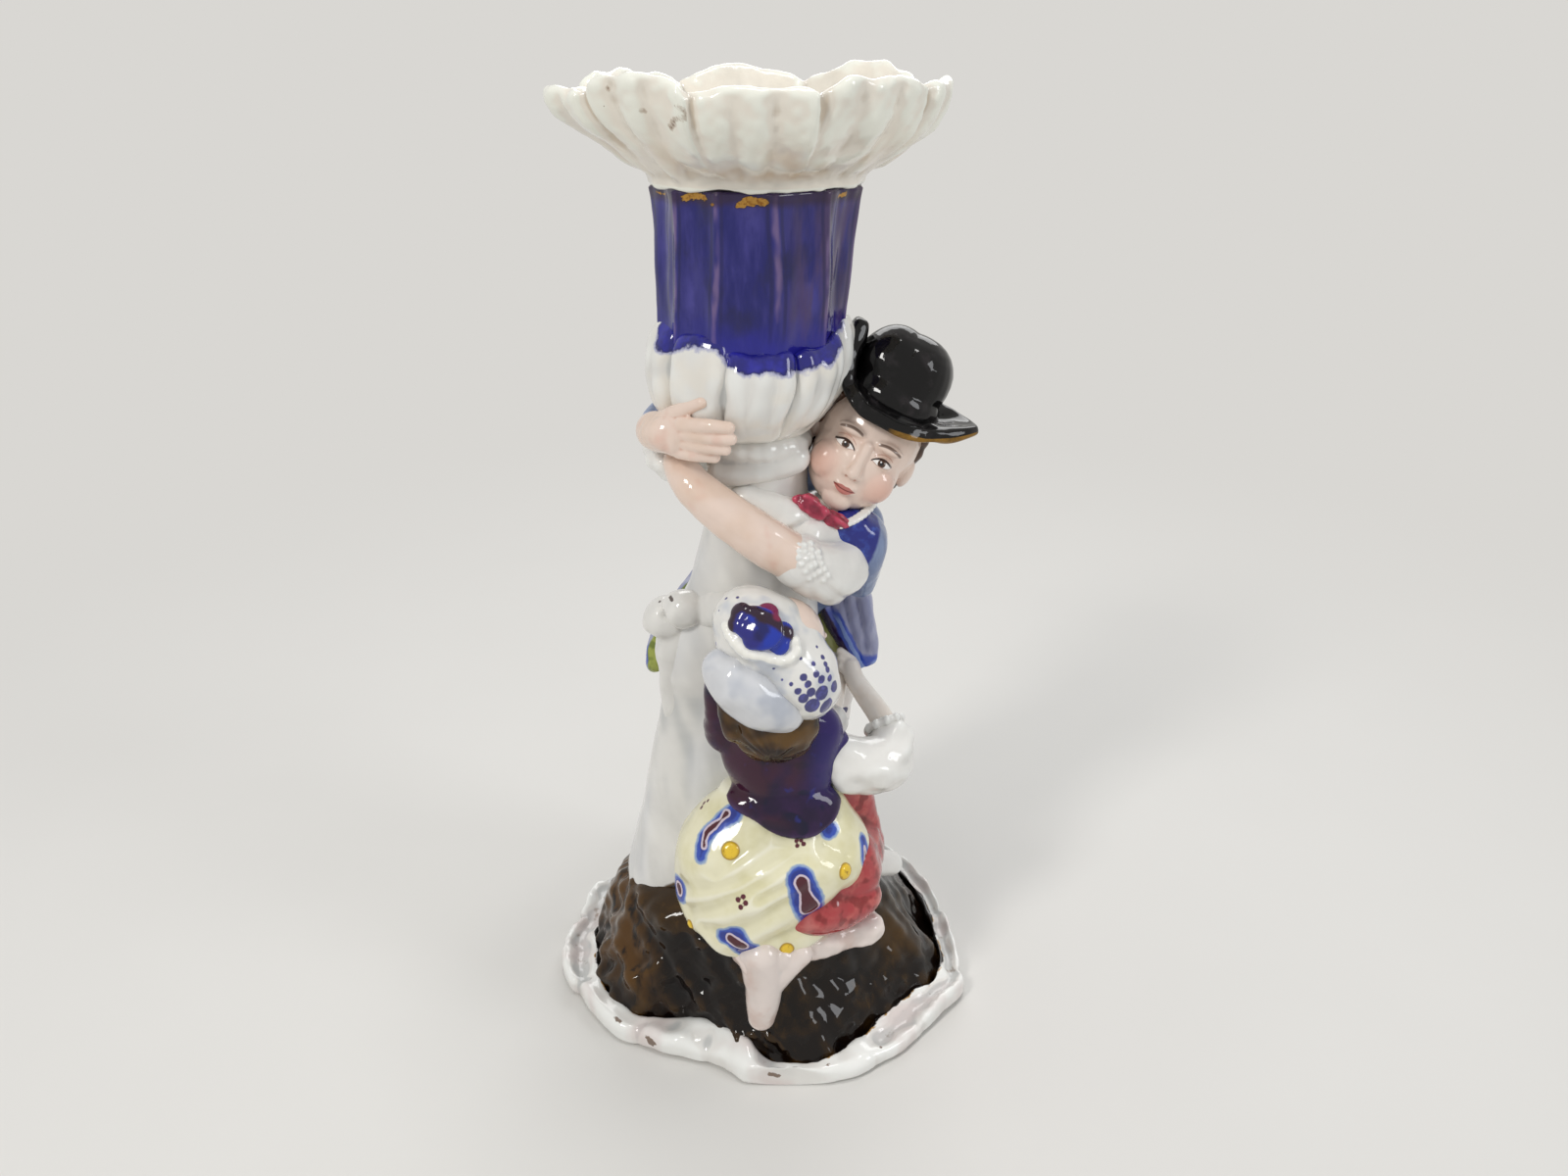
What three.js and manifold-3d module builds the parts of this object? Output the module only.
// A porcelain figure candlestick: a rocky foot with a scrolled border, a tree-trunk stem, a fluted
// candle sconce in a petal calyx under a petal drip pan, a youth who hugs the stem from behind, and
// a seated lady in front of it. Potters press each piece in its own mould and lute the pieces
// together with slip, so each is a solid of its own, with a thin slip line to its neighbours.
// Millimetres, +Z up, origin on the table under the middle of the foot.
import * as THREE from "three";
import { mergeVertices } from "three/addons/utils/BufferGeometryUtils.js";
import Module from "manifold-3d";

const wasm = await Module();
wasm.setup();

// Driving dimensions
const SLIP_GAP = 0.3; // slip line between two luted pieces
const FACET_TOLERANCE = 0.06; // slivers smaller than this are merged into their neighbours
const STEM_FORWARD = 4; // the stem stands this far in front of the foot's middle

const FOOT_WIDTH = 84;
const FOOT_DEPTH = 74;
const BORDER_HEIGHT = 4.6;
const BORDER_WAVE = 1.1; // how much the border's top rises and falls
const MOUND_HEIGHT = 28;
const MOUND_WALL = 4;
const TRUNK_HEIGHT = 81;
const TRUNK_WALL = 3.4;
const TRUNK_HOLLOW_SHARE = 0.86; // how far up the trunk its cast hollow reaches
const COLLAR_HEIGHT = 4.1;
const COLLAR_RADIUS = 9.4;

const CALYX_HEIGHT = 17.4;
const CALYX_WALL = 2.3; // of the calyx, outside the sconce
const CALYX_PETALS = 9;
const SCONCE_SINK = 5.6; // the sconce's foot sits this far above the calyx's foot, inside it
const SCONCE_HEIGHT = 37;
const SCONCE_WALL = 3.5; // at the socket's mouth
const FLUTES = 12;
const FLUTE_DEPTH = 0.7;
const CANDLE_DIAMETER = 22;
const CANDLE_CLEARANCE = 0.7; // round the candle, at the socket's floor
const SOCKET_DRAFT = 0.5; // the socket is wider by this at its mouth
const SOCKET_DEPTH = 25; // inside the sconce, below the drip pan
const PAN_FLARE = 11.4; // the pan's mean rim stands out past the sconce's top by this
const PAN_RISE = 14.2;
const PAN_WALL = 2.6;
const PAN_PETALS = 7;
const PETAL_REACH = 2.4; // a petal's tip stands out and up from the pan's mean rim
const PETAL_LIFT = 4.6;

const SEAT_LENGTH = 29;
const SEAT_DEPTH = 19;
const SEAT_THICKNESS = 4.6;
const SEAT_TURN = 24; // degrees, the stool's front edge against the foot's
const SKIRT_WIDTH = 36;
const SKIRT_DEPTH = 27;
const SKIRT_HEIGHT = 26.4;
const HEAD_WIDTH = 18.6; // the youth's
const HEAD_HEIGHT = 22.6;
const HEAD_ROLL = 28; // degrees, his head leans away from the stem

// The foot's outline as [angle in degrees, radius, border width], anticlockwise from the right
const FOOT_STATIONS = [
  [15, 39.2, 4.5], [37, 41.5, 4.5], [52, 43, 5], [70, 38, 5], [92, 37, 5],
  [112, 39.6, 6], [126, 41.8, 6], [143, 38.6, 5.5], [161, 41.2, 6], [186, 42.3, 8],
  [203, 38.3, 7], [225, 36.4, 6.5], [248, 32.4, 6.5], [263, 34, 5], [275, 37.2, 3.2],
  [292, 37.6, 4], [311, 39, 5], [331, 40.6, 6], [343, 43, 6], [353, 41.2, 5],
];
const FOOT_SIDES = 44;

// The trunk's sections as [share of its height, centre x, centre y, half width, half depth]
const TRUNK_SECTIONS = [
  [0, -4, 2.5, 22.2, 15], [0.2, -4, 2.8, 19, 12.6], [0.42, -3.5, 3, 15.5, 10.4],
  [0.61, -2.5, 2, 13, 9.2], [0.79, -1, 0.5, 10.5, 8.8], [0.91, 0, 0, 9, 8.3], [1, 0, 0, 8.8, 8.4],
];
const TRUNK_SIDES = 24;
const BARK_RIDGES = 9;
const BARK_DEPTH = 0.45;

// Levels that follow from the driving dimensions
const MOUND_TOP = MOUND_HEIGHT;
const TRUNK_FOOT = MOUND_TOP + SLIP_GAP;
const TRUNK_TOP = TRUNK_FOOT + TRUNK_HEIGHT;
const COLLAR_FOOT = TRUNK_TOP + SLIP_GAP;
const CALYX_FOOT = COLLAR_FOOT + COLLAR_HEIGHT + SLIP_GAP;
const SCONCE_FOOT = CALYX_FOOT + SCONCE_SINK;
const SCONCE_TOP = SCONCE_FOOT + SCONCE_HEIGHT;
const PAN_FOOT = SCONCE_TOP + SLIP_GAP;
const SOCKET_FLOOR = SCONCE_TOP - SOCKET_DEPTH;
const SOCKET_RADIUS = CANDLE_DIAMETER / 2 + CANDLE_CLEARANCE;
const SCONCE_RADIUS = SOCKET_RADIUS + SOCKET_DRAFT + SCONCE_WALL;
const CALYX_RADIUS = SCONCE_RADIUS + CALYX_WALL;
const PAN_NECK = SCONCE_RADIUS * 1.07;
const PAN_RADIUS = PAN_NECK + PAN_FLARE;
const SEAT_TOP = MOUND_TOP;

const rad = THREE.MathUtils.degToRad;
const point = (x, y, z) => new THREE.Vector3(x, y, z);

// A place measured from the calyx's foot, where the youth's arms close round the stem
const byArms = (x, y, rise) => point(x, y, CALYX_FOOT + rise);
// A place measured from the top of the stool, where the lady sits
const bySeat = (x, y, rise) => point(x, y, SEAT_TOP + rise);
// A place measured from the top of the mound, where the youth stands
const byGround = (x, y, rise) => point(x, y, MOUND_TOP + rise);

// A closed solid of manifold-3d from a closed three.js geometry
function solidOf(geometry) {
  const bare = geometry.clone();
  bare.deleteAttribute("normal");
  bare.deleteAttribute("uv");
  const merged = mergeVertices(bare, 1e-4);
  return new wasm.Manifold(
    new wasm.Mesh({
      numProp: 3,
      vertProperties: new Float32Array(merged.attributes.position.array),
      triVerts: new Uint32Array(merged.index.array),
    }),
  );
}

function geometryOf(solid) {
  const mesh = solid.getMesh();
  const geometry = new THREE.BufferGeometry();
  const count = mesh.numVert;
  const positions = new Float32Array(count * 3);
  for (let i = 0; i < count; i++)
    for (let k = 0; k < 3; k++) positions[i * 3 + k] = mesh.vertProperties[i * mesh.numProp + k];
  geometry.setAttribute("position", new THREE.BufferAttribute(positions, 3));
  geometry.setIndex(Array.from(mesh.triVerts));
  geometry.computeVertexNormals();
  return geometry;
}

// Skins a list of rings of equally many points. A loop joins the last ring to the first, as round
// a border; otherwise both end rings are closed with a fan.
function skinned(rings, loop = false) {
  const sides = rings[0].length;
  const positions = rings.flat().flatMap((p) => [p.x, p.y, p.z]);
  const index = [];
  const steps = loop ? rings.length : rings.length - 1;
  for (let i = 0; i < steps; i++)
    for (let j = 0; j < sides; j++) {
      const next = (j + 1) % sides;
      const a = i * sides + j;
      const b = i * sides + next;
      const c = ((i + 1) % rings.length) * sides + next;
      const d = ((i + 1) % rings.length) * sides + j;
      index.push(a, b, c, a, c, d);
    }
  if (!loop)
    for (const [ring, turn] of [[0, 1], [rings.length - 1, -1]]) {
      const middle = positions.length / 3;
      const centre = rings[ring].reduce((sum, p) => sum.add(p), point(0, 0, 0));
      centre.divideScalar(sides);
      positions.push(centre.x, centre.y, centre.z);
      for (let j = 0; j < sides; j++) {
        const edge = [ring * sides + j, ring * sides + ((j + 1) % sides)];
        index.push(middle, ...(turn > 0 ? edge.reverse() : edge));
      }
    }
  const geometry = new THREE.BufferGeometry();
  geometry.setAttribute("position", new THREE.Float32BufferAttribute(positions, 3));
  geometry.setIndex(index);
  return solidOf(geometry);
}

// A level ring whose radius and height follow the angle
function ring(sides, radiusAt, heightAt, centre = [0, 0]) {
  return Array.from({ length: sides }, (_, j) => {
    const angle = (2 * Math.PI * j) / sides;
    const r = radiusAt(angle);
    return point(centre[0] + r * Math.cos(angle), centre[1] + r * Math.sin(angle), heightAt(angle));
  });
}

// A level oval ring, its half sizes along x and y
function oval(sides, x, y, z, halfX, halfY, waves = 0, depth = 0) {
  return Array.from({ length: sides }, (_, j) => {
    const angle = (2 * Math.PI * j) / sides;
    const swell = 1 + (depth / halfX) * Math.cos(waves * angle);
    return point(x + halfX * swell * Math.cos(angle), y + halfY * swell * Math.sin(angle), z);
  });
}

// An ellipsoid with its own turn, grown all round by extra
function ball(centre, radii, turn = [0, 0, 0], extra = 0, sides = 12) {
  const geometry = new THREE.SphereGeometry(1, sides, Math.round(sides * 0.6));
  const grown = radii.map((r) => r + extra);
  geometry.scale(...grown);
  const angles = new THREE.Euler(...turn.map(rad));
  geometry.applyMatrix4(new THREE.Matrix4().makeRotationFromEuler(angles));
  geometry.translate(centre.x, centre.y, centre.z);
  return solidOf(geometry);
}

// A round limb through stations of [place, radius], with rounded ends, grown by extra
function limb(stations, extra = 0, sides = 8, steps = 5) {
  const path = new THREE.CatmullRomCurve3(stations.map(([place]) => place), false, "centripetal");
  const frames = path.computeFrenetFrames(steps, false);
  const radiusAt = (t) => {
    const at = t * (stations.length - 1);
    const i = Math.min(Math.floor(at), stations.length - 2);
    return THREE.MathUtils.lerp(stations[i][1], stations[i + 1][1], at - i) + extra;
  };
  const section = (k, along, share) => {
    const t = k / steps;
    const r = radiusAt(t) * share;
    const centre = path.getPointAt(t).addScaledVector(frames.tangents[k], along * radiusAt(t));
    return Array.from({ length: sides }, (_, j) => {
      const angle = (2 * Math.PI * j) / sides;
      return centre
        .clone()
        .addScaledVector(frames.normals[k], r * Math.cos(angle))
        .addScaledVector(frames.binormals[k], r * Math.sin(angle));
    });
  };
  const rings = [section(0, -0.9, 0.4), section(0, -0.5, 0.85)];
  for (let k = 0; k <= steps; k++) rings.push(section(k, 0, 1));
  rings.push(section(steps, 0.5, 0.85), section(steps, 0.9, 0.4));
  return skinned(rings);
}

const joined = (...solids) => solids.reduce((sum, s) => sum.add(s));

// The half space on one side of a level or upright plane, as a large block
function block(low, high) {
  const size = high.clone().sub(low);
  const geometry = new THREE.BoxGeometry(size.x, size.y, size.z);
  const middle = low.clone().add(high).divideScalar(2);
  geometry.translate(middle.x, middle.y, middle.z);
  return solidOf(geometry);
}
const FAR = 200;
const below = (z) => block(point(-FAR, -FAR, -FAR), point(FAR, FAR, z));
const behind = (y) => block(point(-FAR, y, -FAR), point(FAR, FAR, FAR));

// Each piece is cut back from the pieces already set in place, less a slip line
const PORCELAIN = { roughness: 0.12, metalness: 0 };
const taken = [];
function piece(group, name, colour, shapeAt) {
  let solid = shapeAt(0);
  for (const grown of taken) solid = solid.subtract(grown);
  const bodies = solid.simplify(FACET_TOLERANCE).decompose();
  const largest = bodies.sort((a, b) => b.volume() - a.volume())[0];
  taken.push(shapeAt(SLIP_GAP));
  const material = new THREE.MeshStandardMaterial({ color: colour, ...PORCELAIN });
  const mesh = new THREE.Mesh(geometryOf(largest), material);
  mesh.name = name;
  group.add(mesh);
}

// Glaze and enamel colours
const WHITE = 0xe9e6df;
const BLUE = 0x262a86;
const BROWN = 0x2a1a10;
const BLACK = 0x0c0b0b;
const SKIN = 0xe8c9b4;
const RED = 0xa8323f;
const PURPLE = 0x2c1440;
const CREAM = 0xe6e3c8;
const HAIR = 0x4a2c12;
const SLATE = 0x5a6b8c;

// The outline of the foot, fitted to its width and depth, as points of [x, y, border width]
function footOutline() {
  const through = FOOT_STATIONS.map(([angle, r, width]) =>
    point(r * Math.cos(rad(angle)), r * Math.sin(rad(angle)), width),
  );
  const curve = new THREE.CatmullRomCurve3(through, true, "centripetal");
  const raw = curve.getSpacedPoints(FOOT_SIDES).slice(0, FOOT_SIDES);
  const box = new THREE.Box3().setFromPoints(raw);
  const middle = box.getCenter(point(0, 0, 0));
  const size = box.getSize(point(0, 0, 0));
  return raw.map((p) =>
    point(
      ((p.x - middle.x) * FOOT_WIDTH) / size.x,
      ((p.y - middle.y) * FOOT_DEPTH) / size.y + STEM_FORWARD,
      p.z,
    ),
  );
}
const OUTLINE = footOutline();
const FOOT_CENTRE = point(0, STEM_FORWARD, 0);

// The outline drawn in towards the foot's middle by a distance, at a height
function drawnIn(distanceAt, heightAt) {
  return OUTLINE.map((p, j) => {
    const out = point(p.x, p.y, 0).sub(FOOT_CENTRE);
    const r = out.length() - distanceAt(p.z, j);
    return out.setLength(r).add(FOOT_CENTRE).setZ(heightAt(j));
  });
}

function footBorder(extra) {
  const wave = (j) =>
    BORDER_HEIGHT + BORDER_WAVE * Math.sin((6 * Math.PI * j) / FOOT_SIDES) + extra;
  return skinned(
    [
      drawnIn((w) => w + extra, () => 0),
      drawnIn(() => 0.5 - extra, () => 0),
      drawnIn(() => 0.1 - extra, (j) => wave(j) * 0.45),
      drawnIn(() => 1.5 - extra, (j) => wave(j) * 0.95),
      drawnIn((w) => w * 0.55, (j) => wave(j)),
      drawnIn((w) => w + extra, (j) => wave(j) * 0.8),
    ],
    true,
  );
}

// The mound's skin at a share of its height, drawn in by an inset: from the border's inner edge
// to an oval crown that carries the trunk and the youth's shoes
const MOUND_CROWN = { x: -3.5, y: 4.5, halfX: 23.5, halfY: 25 };
const MOUND_SHARES = [0, 0.14, 0.4, 0.7, 0.92, 1];
const MOUND_EASE = [0, 0.06, 0.34, 0.68, 0.93, 1.06];
function moundRing(k, inset) {
  return OUTLINE.map((p) => {
    const out = point(p.x, p.y, 0).sub(FOOT_CENTRE);
    const angle = Math.atan2(out.y, out.x);
    const low = out.setLength(out.length() - p.z - SLIP_GAP - inset).add(FOOT_CENTRE);
    const high = point(
      MOUND_CROWN.x + (MOUND_CROWN.halfX - inset) * Math.cos(angle),
      MOUND_CROWN.y + (MOUND_CROWN.halfY - inset) * Math.sin(angle),
      0,
    );
    return low.lerp(high, MOUND_EASE[k]).setZ(MOUND_SHARES[k] * MOUND_HEIGHT);
  });
}
function baseMound(extra) {
  const outer = skinned(
    MOUND_SHARES.map((_, k) => moundRing(k, -extra).map((p) => p.setZ(p.z + extra * (k > 0)))),
  );
  if (extra > 0) return outer;
  const drop = point(0, 0, MOUND_WALL);
  const hollow = skinned(
    MOUND_SHARES.map((_, k) =>
      moundRing(k, MOUND_WALL)
        .filter((_, j) => j % 2 === 0)
        .map((p) => (k === 0 ? p.setZ(-1) : p.sub(drop))),
    ),
  );
  return outer.subtract(hollow).subtract(trunkSkin(-TRUNK_WALL, -FAR, 0.1));
}

// The trunk's skin, grown or drawn in by extra, over part of its height. Below its foot it runs on
// straight down.
function trunkSkin(extra, from = TRUNK_FOOT, share = 1) {
  const top = TRUNK_FOOT + TRUNK_HEIGHT * share;
  const rings = TRUNK_SECTIONS.map(([s, x, y, halfX, halfY]) =>
    oval(
      TRUNK_SIDES, x, y, TRUNK_FOOT + s * TRUNK_HEIGHT, halfX + extra, halfY + extra,
      BARK_RIDGES, BARK_DEPTH,
    ),
  );
  if (from < TRUNK_FOOT) rings.unshift(rings[0].map((p) => p.clone().setZ(from)));
  const whole = skinned(rings);
  if (share === 1) return whole;
  return whole.subtract(block(point(-FAR, -FAR, top), point(FAR, FAR, FAR)));
}
function trunk(extra) {
  if (extra > 0) return trunkSkin(extra, TRUNK_FOOT - extra);
  return trunkSkin(0).subtract(trunkSkin(-TRUNK_WALL, TRUNK_FOOT - 1, TRUNK_HOLLOW_SHARE));
}

// A turned piece about the stem's axis, from [radius, height] stations
function turned(stations, sides, extra = 0, waves = 0, depth = 0) {
  return skinned(
    stations.map(([r, z], k) => {
      const end = k === 0 ? -extra : k === stations.length - 1 ? extra : 0;
      return oval(sides, 0, 0, z + end, r + extra, r + extra, waves, depth);
    }),
  );
}

function stemCollar(extra) {
  return turned(
    [
      [COLLAR_RADIUS * 0.88, COLLAR_FOOT], [COLLAR_RADIUS, COLLAR_FOOT + COLLAR_HEIGHT * 0.3],
      [COLLAR_RADIUS, COLLAR_FOOT + COLLAR_HEIGHT * 0.7],
      [COLLAR_RADIUS * 0.84, COLLAR_FOOT + COLLAR_HEIGHT],
    ],
    20,
    extra,
  );
}

// The sconce's outer skin as [share of the sconce's height, share of its radius]
const SCONCE_SHAPE = [
  [0, 0.86], [0.06, 0.94], [0.15, 1], [0.5, 0.97], [0.8, 0.99], [0.93, 1.03], [1, 1.08],
];
const sconceSkin = (extra) =>
  turned(
    SCONCE_SHAPE.map(([s, r]) => [r * SCONCE_RADIUS, SCONCE_FOOT + s * SCONCE_HEIGHT]),
    FLUTES * 4,
    extra,
    FLUTES,
    FLUTE_DEPTH / 2,
  );
const candleSpace = (from, to, floor) =>
  turned(
    [[SOCKET_RADIUS, from], [SOCKET_RADIUS + SOCKET_DRAFT, Math.max(to, floor + SOCKET_DEPTH)]],
    28,
  );
function candleSconce(extra) {
  if (extra > 0) return sconceSkin(extra);
  return sconceSkin(0).subtract(candleSpace(SOCKET_FLOOR, SCONCE_TOP + 1, SOCKET_FLOOR));
}

// The calyx's outer skin as [share of its height, share of its radius]. Its top edge is scalloped.
const CALYX_SHAPE = [[0, 0.42], [0.09, 0.62], [0.24, 0.82], [0.46, 0.97], [0.72, 1], [1, 0.985]];
function calyx(extra) {
  const sides = CALYX_PETALS * 4;
  const scallop = (angle) => 0.5 * Math.abs(Math.cos((CALYX_PETALS * angle) / 2));
  return skinned(
    CALYX_SHAPE.map(([s, r], k) => {
      const low = k === 0 ? -extra : 0;
      const edge = k === CALYX_SHAPE.length - 1 ? 1 : 0;
      return ring(
        sides,
        (angle) => r * CALYX_RADIUS + s * scallop(angle) + extra,
        (angle) => CALYX_FOOT + s * CALYX_HEIGHT + low + edge * (4 * scallop(angle) + extra),
      );
    }),
  );
}

// The drip pan's closed section as [radius, height above its foot, share of the petals' wave], from
// the underside of the rim over the lip and down to the candle's way through
function dripPan(extra) {
  const sides = PAN_PETALS * 6;
  const inner = SOCKET_RADIUS + SOCKET_DRAFT;
  const [neck, bowl] = [PAN_NECK, PAN_FLARE];
  const section = [
    [inner, 0, 0], [neck, 0, 0], [neck + bowl * 0.12, PAN_RISE * 0.09, 0],
    [neck + bowl * 0.45, PAN_RISE * 0.32, 0.2], [neck + bowl * 0.8, PAN_RISE * 0.62, 0.6],
    [PAN_RADIUS, PAN_RISE * 0.93, 1], [PAN_RADIUS - PAN_WALL * 0.5, PAN_RISE, 1],
    [PAN_RADIUS - PAN_WALL * 1.1, PAN_RISE * 0.92, 1],
    [neck + bowl * 0.5, PAN_RISE * 0.6, 0.45], [neck, PAN_RISE * 0.36, 0.1],
    [inner, PAN_RISE * 0.3, 0],
  ];
  const petal = (angle) => Math.abs(Math.cos((PAN_PETALS * (angle - rad(-62))) / 2)) - 0.6;
  const shape = section.map(([r, z, w]) =>
    ring(
      sides,
      (angle) => r + w * PETAL_REACH * petal(angle) + (z === 0 && r === inner ? 0 : extra),
      (angle) => PAN_FOOT + z + w * PETAL_LIFT * petal(angle),
    ),
  );
  return skinned(shape, true);
}

// Small stubs of cut branches on the trunk's left
const STUB_LEVEL = 0.66; // share of the trunk's height
const stub = (x, rise, radius) => (extra) =>
  ball(
    point(x, 0.5, TRUNK_FOOT + TRUNK_HEIGHT * STUB_LEVEL + rise),
    [radius, radius * 0.9, radius * 0.85],
    [0, 0, 0],
    extra,
    12,
  );

const candlestick = new THREE.Group();
candlestick.position.set(0, -STEM_FORWARD, 0);
const foot = new THREE.Group();
const stem = new THREE.Group();
const youth = new THREE.Group();
const lady = new THREE.Group();
candlestick.add(foot, stem, youth, lady);

piece(foot, "base_mound", BROWN, baseMound);
piece(foot, "foot_border", WHITE, footBorder);
piece(stem, "trunk", WHITE, trunk);
piece(stem, "stem_collar", WHITE, stemCollar);
piece(stem, "candle_sconce", BLUE, candleSconce);
piece(stem, "calyx", WHITE, calyx);
piece(stem, "drip_pan", WHITE, dripPan);
piece(stem, "branch_stub_lower", WHITE, stub(-16.8, 0, 4.2));
piece(stem, "branch_stub_upper", WHITE, stub(-13.6, 3.6, 3.4));

// A place in the youth's head: to its side, towards its back and up, from the head's centre, for a
// head of the model's width. The head leans against the calyx.
const MODEL_HEAD_WIDTH = 18.6;
const HEAD_FIT = HEAD_WIDTH / MODEL_HEAD_WIDTH;
const HEAD = byArms(CALYX_RADIUS + 0.9, 0.5, -1);
const HEAD_TURN = [0, HEAD_ROLL, 0];
function inHead(side, back, up) {
  const turn = new THREE.Euler(...HEAD_TURN.map(rad));
  return point(side, back, up).multiplyScalar(HEAD_FIT).applyEuler(turn).add(HEAD);
}

const fitted = (...radii) => radii.map((r) => r * HEAD_FIT);

function youthHead(extra) {
  return joined(
    ball(HEAD, [HEAD_WIDTH / 2, HEAD_WIDTH * 0.53, HEAD_HEIGHT / 2], HEAD_TURN, extra),
    limb([[byArms(16.5, 3.5, -7.5), 4], [byArms(15, 5, -13), 4.3]], extra, 8, 3),
  );
}
function hatCrown(extra) {
  return ball(inHead(0.4, 1, 11.8), fitted(8.4, 8.8, 10), HEAD_TURN, extra);
}
// The brim's outer edge as [side, back, up] in the head's own axes: a corner over each ear, the
// front turned up over the brow
const BRIM_EDGE = [
  [16.2, 0, 12], [10.5, 7, 10.2], [2, 10.8, 9.6], [-6.5, 9, 11.5], [-12.8, 1.2, 16.8],
  [-9.4, -7, 11], [-1, -10.8, 8.4], [8.6, -8, 9.2],
];
function hatBrim(extra) {
  const sides = 20;
  const edge = new THREE.CatmullRomCurve3(BRIM_EDGE.map((p) => point(...p)), true, "centripetal");
  const around = edge.getPoints(sides).slice(0, sides);
  const band = (radius, up) =>
    around.map((p) => {
      const flat = point(p.x, p.y, 0).setLength(radius + extra / HEAD_FIT);
      return inHead(flat.x, flat.y, up);
    });
  const lip = (inset, rise) =>
    around.map((p) => {
      const flat = point(p.x, p.y, 0);
      flat.setLength(flat.length() - inset + extra);
      return inHead(flat.x, flat.y, p.z + rise);
    });
  return skinned([band(8.8, 5.4 - extra), lip(0.6, -1 - extra), lip(0, 0), lip(1.4, 1 + extra),
    band(8.6, 8.2 + extra)]);
}
const BROW_LEVEL = 5; // the hair keeps above and behind the face
function youthHair(extra) {
  const cap = ball(inHead(0, 3.2, 1.2), fitted(9.9, 9.6, 10.4), HEAD_TURN, extra);
  const queue = limb(
    [[byArms(17.5, 11.5, -3), 2.6], [byArms(15.5, 15, -10), 2.2], [byArms(13.5, 18, -17), 1.8]],
    extra,
    8,
    4,
  );
  const face = ball(inHead(0, -9.5, -BROW_LEVEL), fitted(11, 9, 13), HEAD_TURN, -extra);
  return cap.subtract(face).add(queue);
}

piece(youth, "youth_head", SKIN, youthHead);
piece(youth, "hat_crown", BLACK, hatCrown);
piece(youth, "hat_brim", BLACK, hatBrim);

piece(youth, "youth_right_hand", SKIN, (extra) =>
  joined(
    limb(
      [[byArms(-16.2, -4.5, 2.8), 3.2], [byArms(-12.4, -10, 4), 4.2], [byArms(-7, -12.8, 5.2), 3],
        [byArms(-4.4, -13.6, 6.2), 1.8]],
      extra,
    ),
    limb([[byArms(-9.4, -11.8, 6.8), 1.6], [byArms(-6.2, -13.6, 9.6), 1.1]], extra, 8, 3),
  ),
);
piece(youth, "youth_left_forearm", SKIN, (extra) =>
  limb(
    [[byArms(8, -13.4, -17.4), 4.9], [byArms(-1, -13.8, -10.8), 4.2], [byArms(-8, -11.6, -5.8), 3.5],
      [byArms(-11.6, -6, -2.3), 3]],
    extra,
  ),
);
piece(youth, "youth_left_sleeve", WHITE, (extra) =>
  limb(
    [[byArms(17, 1.5, -17.4), 5.6], [byArms(15.2, -5, -18.8), 6],
      [byArms(11.8, -9.8, -19), 5.8], [byArms(8, -12.4, -17.6), 5.2]],
    extra,
    10,
  ),
);
piece(youth, "youth_left_hand", SKIN, (extra) =>
  limb([[byArms(-12.8, -2.6, -0.6), 2.8], [byArms(-13, 3.4, 1), 2.4]], extra, 8, 3),
);
piece(youth, "youth_right_cuff", SLATE, (extra) =>
  ball(byArms(-17, 0.6, 3.6), [2.6, 2.4, 3.6], [20, 0, 0], extra, 12),
);
piece(youth, "youth_right_sleeve", WHITE, (extra) =>
  limb(
    [[byArms(4, 13, -10), 5.4], [byArms(-8, 12, -7.7), 5], [byArms(-15, 8.4, -3.4), 4.3],
      [byArms(-16.4, 4, 1), 3.4]],
    extra,
  ),
);
piece(youth, "youth_vest", BLUE, (extra) =>
  limb(
    [[byArms(17, 4.8, -18), 5.7], [byArms(13.5, 9.4, -22), 9.2], [byArms(6, 14, -31), 9.4]],
    extra,
    10,
  ),
);
piece(youth, "youth_shirt", WHITE, (extra) =>
  ball(byArms(12, 1.4, -18.4), [7.6, 6.4, 8.8], [0, 20, 0], extra, 12),
);
piece(youth, "youth_hair", HAIR, youthHair);
piece(youth, "neckcloth_bow", RED, (extra) =>
  limb(
    [[byArms(7.8, -5.8, -10.4), 1.9], [byArms(12, -7.4, -12.2), 1.5],
      [byArms(16.6, -7.6, -13.4), 2]],
    extra,
    8,
    5,
  ),
);
piece(youth, "shirt_frill", WHITE, (extra) =>
  limb(
    [[byArms(17.6, -4.6, -13.2), 1.7], [byArms(21.8, -1.6, -12), 1.6], [byArms(23, 3, -11), 1.4]],
    extra,
    8,
    4,
  ),
);

piece(youth, "youth_breeches", CREAM, (extra) =>
  joined(
    ball(byArms(2.5, 15, -38.5), [11.6, 8.4, 8.6], [0, 0, 0], extra),
    limb(
      [[byArms(7.5, 13, -40), 6.2], [byArms(12, 10.8, -49), 5.3], [byGround(13, 12.4, 24.6), 4.3]],
      extra,
      8,
      4,
    ),
    limb(
      [[byArms(-4, 15, -40), 6.2], [byArms(-8, 17.4, -50), 5.2], [byGround(-9, 18.6, 24.6), 4.3]],
      extra,
      8,
      4,
    ),
  ),
);
piece(youth, "coat_tail_left", SLATE, (extra) =>
  limb(
    [[byArms(13, 14, -30), 4.4], [byArms(17.6, 9.4, -36.6), 4.2], [byArms(19.2, 6.4, -43), 3.4],
      [byArms(18.6, 5.2, -46.6), 2.3]],
    extra,
  ),
);
piece(youth, "coat_tail_right", SLATE, (extra) =>
  limb(
    [[byArms(-6, 20.5, -30), 4.4], [byArms(-13.6, 16, -37), 4.2], [byArms(-18.4, 11.4, -43), 3.4],
      [byArms(-19, 9.2, -47), 2.4]],
    extra,
  ),
);
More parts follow.
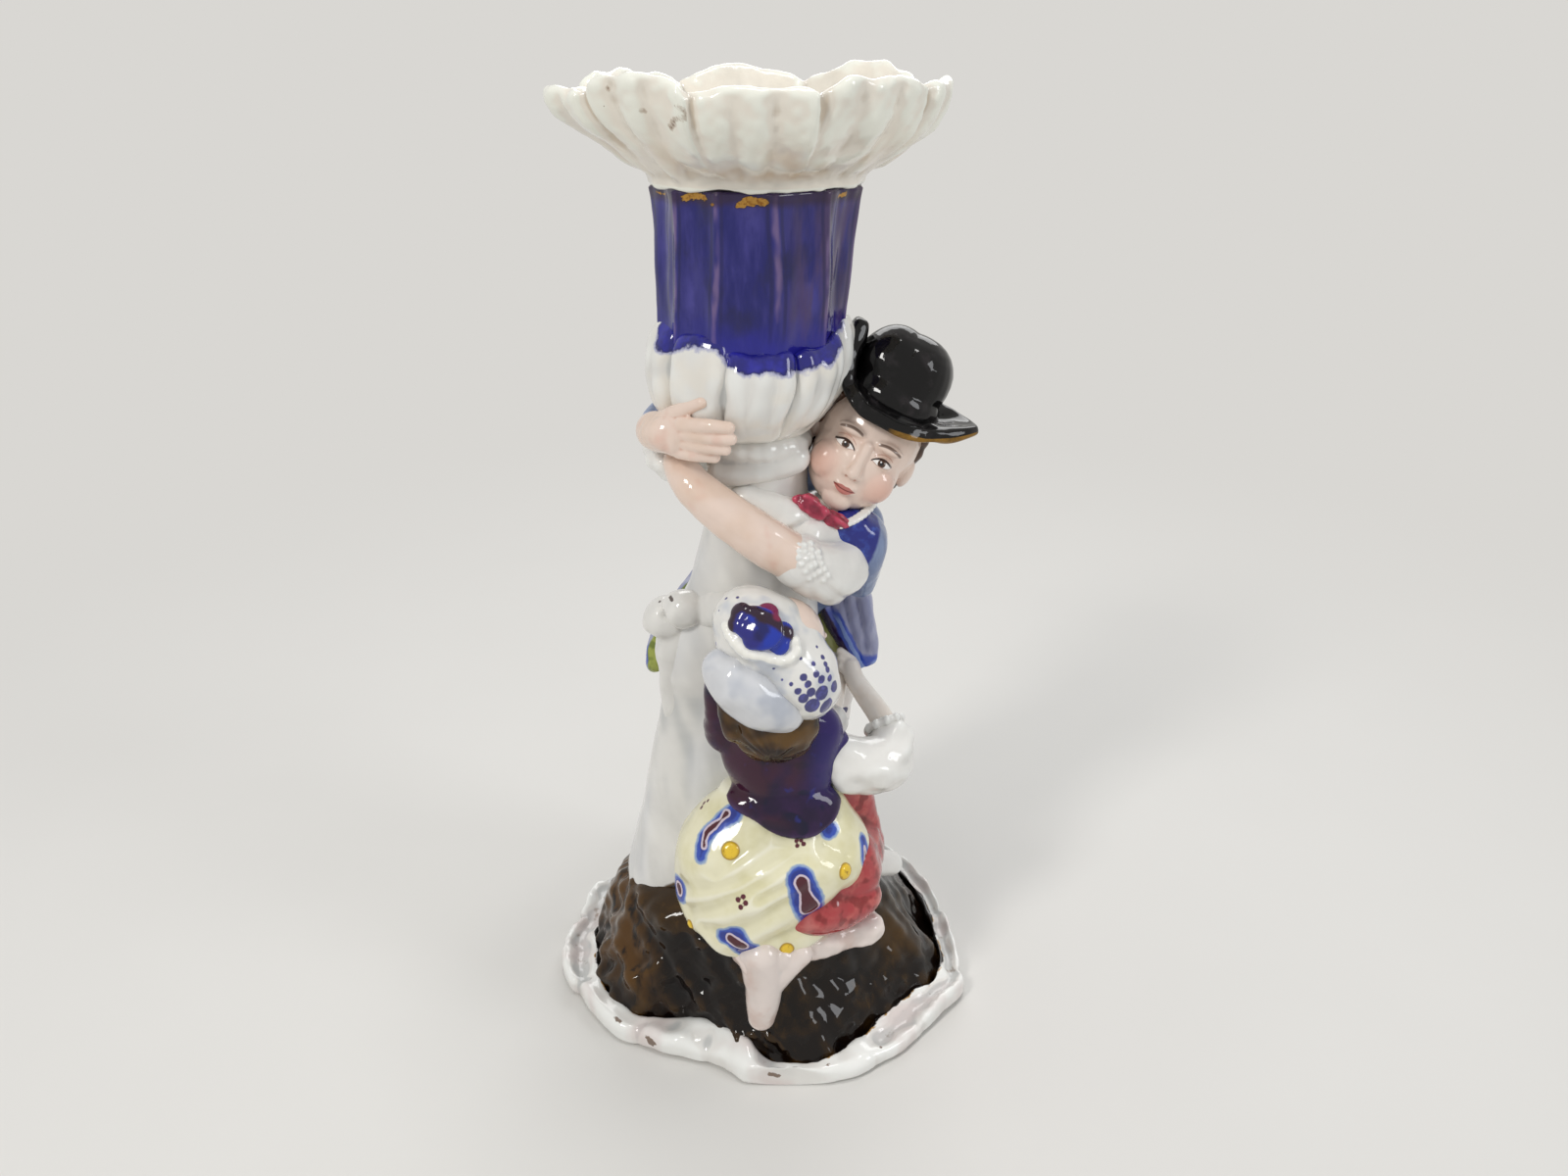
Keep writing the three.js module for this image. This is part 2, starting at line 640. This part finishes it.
for (const [side, x, y] of [["left", 13, 12.4], ["right", -9, 18.6]]) {
  const heel = y + 6;
  piece(youth, `youth_${side}_shoe`, BLACK, (extra) =>
    limb(
      [[byGround(x - 0.6, heel + 1.6, 2.2), 2.1], [byGround(x + 1, heel - 4, 1.7), 2.3]],
      extra,
      8,
      4,
    ),
  );
  piece(youth, `youth_${side}_leg`, WHITE, (extra) =>
    limb(
      [[byGround(x, y + 0.4, 23), 3.6], [byGround(x + 0.4, y + 3, 16), 3.9],
        [byGround(x - 0.4, heel, 5.6), 2.4]],
      extra,
      8,
      5,
    ),
  );
}

// The stool: a thick slab with rounded corners and one leg, propped against the mound
function stoolSeat(extra) {
  const half = point(SEAT_LENGTH / 2 + extra, SEAT_DEPTH / 2 + extra, 0);
  const sides = 20;
  const corner = 0.32; // power of the rounded rectangle
  const level = (z, inset) =>
    Array.from({ length: sides }, (_, j) => {
      const angle = (2 * Math.PI * j) / sides;
      const [c, s] = [Math.cos(angle), Math.sin(angle)];
      return point(
        Math.sign(c) * Math.abs(c) ** corner * (half.x - inset),
        Math.sign(s) * Math.abs(s) ** corner * (half.y - inset),
        0,
      )
        .applyAxisAngle(point(0, 0, 1), rad(SEAT_TURN))
        .add(bySeat(6.9, -17.4, z));
    });
  return skinned([level(-SEAT_THICKNESS - extra, 0.8), level(-SEAT_THICKNESS * 0.6, 0),
    level(-SEAT_THICKNESS * 0.2, 0), level(extra, 0.7)]);
}
piece(lady, "stool_seat", WHITE, stoolSeat);
piece(lady, "stool_leg", WHITE, (extra) =>
  limb([[bySeat(0.8, -28.4, -4), 3.4], [point(2.2, -27.6, 10.5), 2.2]], extra, 8, 3),
);

const sitting = (solid, extra) => solid.subtract(below(SEAT_TOP + SLIP_GAP - extra));
function ladyBodice(extra) {
  // [rise above the seat, centre x, centre y, half width, half depth]
  const sections = [
    [18.6, 5, -17, 9.8, 7.2], [22.6, 4.8, -16.6, 8.6, 6.2], [28, 4.3, -16.4, 9.7, 6.4],
    [35, 3.9, -16.2, 11.3, 6.7], [40, 3.8, -16, 11.2, 6.2], [43.4, 3.8, -15.8, 7.4, 5],
  ];
  return skinned(
    sections.map(([rise, x, y, halfX, halfY], k) => {
      const end = k === 0 ? -extra : k === sections.length - 1 ? extra : 0;
      return oval(18, x, y, SEAT_TOP + rise + end, halfX + extra, halfY + extra);
    }),
  );
}
// The overskirt's sections as [share of its height, share of its width, share of its depth]
const SKIRT_SHAPE = [
  [0, 0.86, 0.88], [0.1, 0.96, 0.98], [0.3, 1, 1], [0.52, 0.97, 0.96], [0.74, 0.8, 0.8],
  [0.9, 0.62, 0.62], [1, 0.54, 0.52],
];
const LADY_HEAD = bySeat(3.2, -17.6, 56);
piece(lady, "lady_bodice", PURPLE, ladyBodice);
piece(lady, "lady_head", SKIN, (extra) =>
  joined(
    ball(LADY_HEAD, [7.8, 8.2, 9.6], [12, 0, 0], extra, 12),
    limb([[bySeat(3.5, -16.4, 49), 3.6], [bySeat(3.8, -15.9, 42), 4]], extra, 8, 3),
  ),
);
piece(lady, "bonnet_rosette", BLUE, (extra) => {
  const petals = 5;
  const shape = [];
  for (let i = 0; i < petals; i++) {
    const angle = (2 * Math.PI * i) / petals + 0.3;
    const place = point(4.8 * Math.cos(angle), 2.9 * Math.sin(angle), 0);
    place.applyEuler(new THREE.Euler(rad(52), rad(8), 0)).add(bySeat(0.8, -27.2, 63.2));
    shape.push(ball(place, [3.6, 3, 1.4], [52, 8, 0], extra, 6));
  }
  return joined(...shape);
});
piece(lady, "bonnet_puff", WHITE, (extra) =>
  ball(bySeat(0.2, -24, 51.6), [9.1, 7.2, 7.8], [0, -20, 0], extra),
);
piece(lady, "lady_hair", HAIR, (extra) =>
  ball(bySeat(3.9, -20.6, 41.2), [8.4, 6.2, 7.4], [0, 0, 0], extra, 12),
);
piece(lady, "bonnet_cap", WHITE, (extra) =>
  ball(bySeat(3.2, -19.6, 58), [11.2, 10.4, 10.6], [0, 0, 0], extra).subtract(behind(-13 + extra)),
);

piece(lady, "lady_right_sleeve", WHITE, (extra) =>
  limb(
    [[bySeat(14.6, -13.6, 34.4), 4.6], [bySeat(18.6, -13.4, 31.8), 5.4],
      [bySeat(24.4, -11, 30.8), 5.2]],
    extra,
  ),
);
piece(lady, "lady_right_ruffle", WHITE, (extra) =>
  ball(bySeat(24.2, -6.4, 33.6), [4.9, 4.9, 1.9], [-42, -24, 0], extra, 12),
);
// Both her hands reach the youth's coat tail, so they follow it when the stem's height changes
const COAT_HOLD = byArms(17.4, 2.8, -45);
piece(lady, "lady_right_forearm", SKIN, (extra) =>
  limb(
    [[bySeat(23, -4, 35.4), 2.6], [COAT_HOLD.clone().lerp(bySeat(23, -4, 35.4), 0.4), 2],
      [COAT_HOLD, 1.9]],
    extra,
    8,
    5,
  ),
);
piece(lady, "lady_left_sleeve", WHITE, (extra) =>
  ball(bySeat(10.5, -8.8, 34.5), [5, 4.6, 5], [0, 0, 0], extra, 12),
);
piece(lady, "lady_left_forearm", SKIN, (extra) =>
  limb(
    [[bySeat(13, -5.4, 34.6), 2.6], [COAT_HOLD.clone().lerp(bySeat(13, -5.4, 34.6), 0.4), 2.1],
      [COAT_HOLD.clone().add(point(-2.4, 1, -2.6)), 1.9]],
    extra,
    8,
    5,
  ),
);
piece(lady, "overskirt", CREAM, (extra) =>
  skinned(
    SKIRT_SHAPE.map(([s, wide, deep], k) => {
      const end = k === 0 ? -extra : k === SKIRT_SHAPE.length - 1 ? extra : 0;
      const z = SEAT_TOP + SLIP_GAP + s * (SKIRT_HEIGHT - SLIP_GAP) + end;
      const halfX = (wide * SKIRT_WIDTH) / 2 + extra;
      return oval(20, 2.4 + 1.6 * s, -17.6, z, halfX, (deep * SKIRT_DEPTH) / 2 + extra);
    }),
  ),
);
piece(lady, "petticoat", RED, (extra) =>
  sitting(
    joined(
      ball(bySeat(12.2, -14, 8.8), [11.8, 12.4, 11.6], [0, 0, 0], extra),
      limb(
        [[bySeat(15, -8.4, 23), 5.8], [bySeat(15.4, -6.6, 12), 6.6], [bySeat(16.6, -4, 4), 6.4]],
        extra,
        10,
        5,
      ),
    ),
    extra,
  ),
);
piece(lady, "lady_shoe", WHITE, (extra) =>
  limb([[bySeat(21.6, -1, -0.6), 2.6], [bySeat(26.6, 3, -4.4), 2.5]], extra, 8, 4),
);

export default candlestick;
